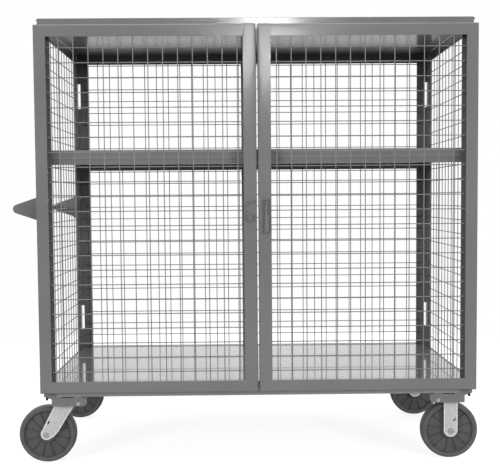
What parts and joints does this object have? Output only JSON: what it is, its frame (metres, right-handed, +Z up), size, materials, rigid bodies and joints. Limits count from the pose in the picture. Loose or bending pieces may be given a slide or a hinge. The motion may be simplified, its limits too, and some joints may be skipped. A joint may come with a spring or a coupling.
{
  "type": "wire mesh security cart",
  "caption": "Wide two-door security cart with welded wire mesh walls, solid deck, middle shelf and roof, side push handle, rod latch and swivel and rigid casters.",
  "frame": {"origin": "on the floor, under the middle of the bounding box", "axes": "+X along the width towards the rigid casters (the push handle is at -X), +Y from the doors to the back, +Z up"},
  "size_m": [1.6556, 0.8906, 1.566],
  "materials": {
    "grey_enamel": "semi-gloss grey enamel",
    "mesh_enamel": "semi-gloss grey enamel on round wire",
    "zinc_steel": "zinc plated pressed steel",
    "bright_bolt": "bright zinc plated",
    "black_screw": "black oxide",
    "moulded_wheel": "moulded charcoal, satin tread",
    "bearing_steel": "ground steel"
  },
  "bodies": {
    "cart_frame": {"deck_pan": "grey_enamel", "caster_channel_left": "grey_enamel", "caster_channel_right": "grey_enamel", "corner_screws": "black_screw", "lip_bolts": "bright_bolt", "post_front_left": "grey_enamel", "post_front_right": "grey_enamel", "post_rear_left": "grey_enamel", "post_rear_right": "grey_enamel", "roof_panel": "grey_enamel", "back_center_strip": "grey_enamel", "back_mesh_left": "mesh_enamel", "back_mesh_right": "mesh_enamel", "side_mesh_left": "mesh_enamel", "side_mesh_right": "mesh_enamel", "shelf_panel": "grey_enamel", "shelf_front_angle": "grey_enamel", "shelf_clips": "grey_enamel", "shelf_screws": "bright_bolt", "handle_bracket_front": "grey_enamel", "handle_bracket_rear": "grey_enamel", "handle_tube": "grey_enamel", "handle_bolts": "bright_bolt", "rigid_fork_front": "zinc_steel", "rigid_fork_rear": "zinc_steel", "caster_bolts": "bright_bolt", "swivel_plate_front": "zinc_steel", "swivel_plate_rear": "zinc_steel", "kingpins": "bright_bolt", "axle_bushing_rigid": "bearing_steel", "axle_bolt_rigid": "bright_bolt", "hinge_post_leaves_left": "grey_enamel", "hinge_post_leaves_right": "grey_enamel", "hinge_pins": "bright_bolt"},
    "left_door": {"door_frame_left": "grey_enamel", "door_mesh_left": "mesh_enamel", "hinge_door_leaves_left": "grey_enamel", "latch_keeper": "grey_enamel"},
    "right_door": {"door_frame_right": "grey_enamel", "door_mesh_right": "mesh_enamel", "hinge_door_leaves_right": "grey_enamel", "latch_sleeve": "grey_enamel"},
    "latch_stop": {"latch_collar": "bright_bolt"},
    "latch_bar": {"latch_rod": "grey_enamel"},
    "swivel_front": {"swivel_fork_front": "zinc_steel", "swivel_balls_front": "bearing_steel", "axle_bushing_swivel_front": "bearing_steel", "axle_bolt_swivel_front": "bright_bolt"},
    "swivel_rear": {"swivel_fork_rear": "zinc_steel", "swivel_balls_rear": "bearing_steel", "axle_bushing_swivel_rear": "bearing_steel", "axle_bolt_swivel_rear": "bright_bolt"},
    "roller_front_left": {"wheel_front_left": "moulded_wheel", "wheel_bearing_front_left": "bearing_steel"},
    "roller_rear_left": {"wheel_rear_left": "moulded_wheel", "wheel_bearing_rear_left": "bearing_steel"},
    "roller_front_right": {"wheel_front_right": "moulded_wheel", "wheel_bearing_front_right": "bearing_steel"},
    "roller_rear_right": {"wheel_rear_right": "moulded_wheel", "wheel_bearing_rear_right": "bearing_steel"}
  },
  "joints": [
    {"name": "left_door_swing", "type": "hinge", "parent": "cart_frame", "child": "left_door", "pos_m": [-0.7261, -0.33994, 0.9035], "axis": [0, 0, -1], "range_deg": [0, 160]},
    {"name": "right_door_swing", "type": "hinge", "parent": "cart_frame", "child": "right_door", "pos_m": [0.7985, -0.33994, 0.9035], "axis": [0, 0, 1], "range_deg": [0, 180]},
    {"name": "latch_lift", "type": "slide", "parent": "right_door", "child": "latch_stop", "axis": [0, 0, 1], "range_m": [-0.02, 0.004]},
    {"name": "latch_swivel", "type": "hinge", "parent": "latch_stop", "child": "latch_bar", "pos_m": [0.066, -0.39069, 0.8835], "axis": [0, 0, 1], "range_deg": [-65, 115]},
    {"name": "front_caster_swivel", "type": "hinge", "parent": "cart_frame", "child": "swivel_front", "pos_m": [-0.6538, -0.26669, 0.2195], "axis": [0, 0, 1], "continuous": true},
    {"name": "rear_caster_swivel", "type": "hinge", "parent": "cart_frame", "child": "swivel_rear", "pos_m": [-0.6538, 0.37231, 0.2195], "axis": [0, 0, 1], "continuous": true},
    {"name": "front_left_wheel_spin", "type": "hinge", "parent": "swivel_front", "child": "roller_front_left", "pos_m": [-0.7233, -0.26669, 0.1016], "axis": [0, 1, 0], "continuous": true},
    {"name": "rear_left_wheel_spin", "type": "hinge", "parent": "swivel_rear", "child": "roller_rear_left", "pos_m": [-0.7233, 0.37231, 0.1016], "axis": [0, 1, 0], "continuous": true},
    {"name": "front_right_wheel_spin", "type": "hinge", "parent": "cart_frame", "child": "roller_front_right", "pos_m": [0.7262, -0.26669, 0.1016], "axis": [0, 1, 0], "continuous": true},
    {"name": "rear_right_wheel_spin", "type": "hinge", "parent": "cart_frame", "child": "roller_rear_right", "pos_m": [0.7262, 0.37231, 0.1016], "axis": [0, 1, 0], "continuous": true}
  ]
}
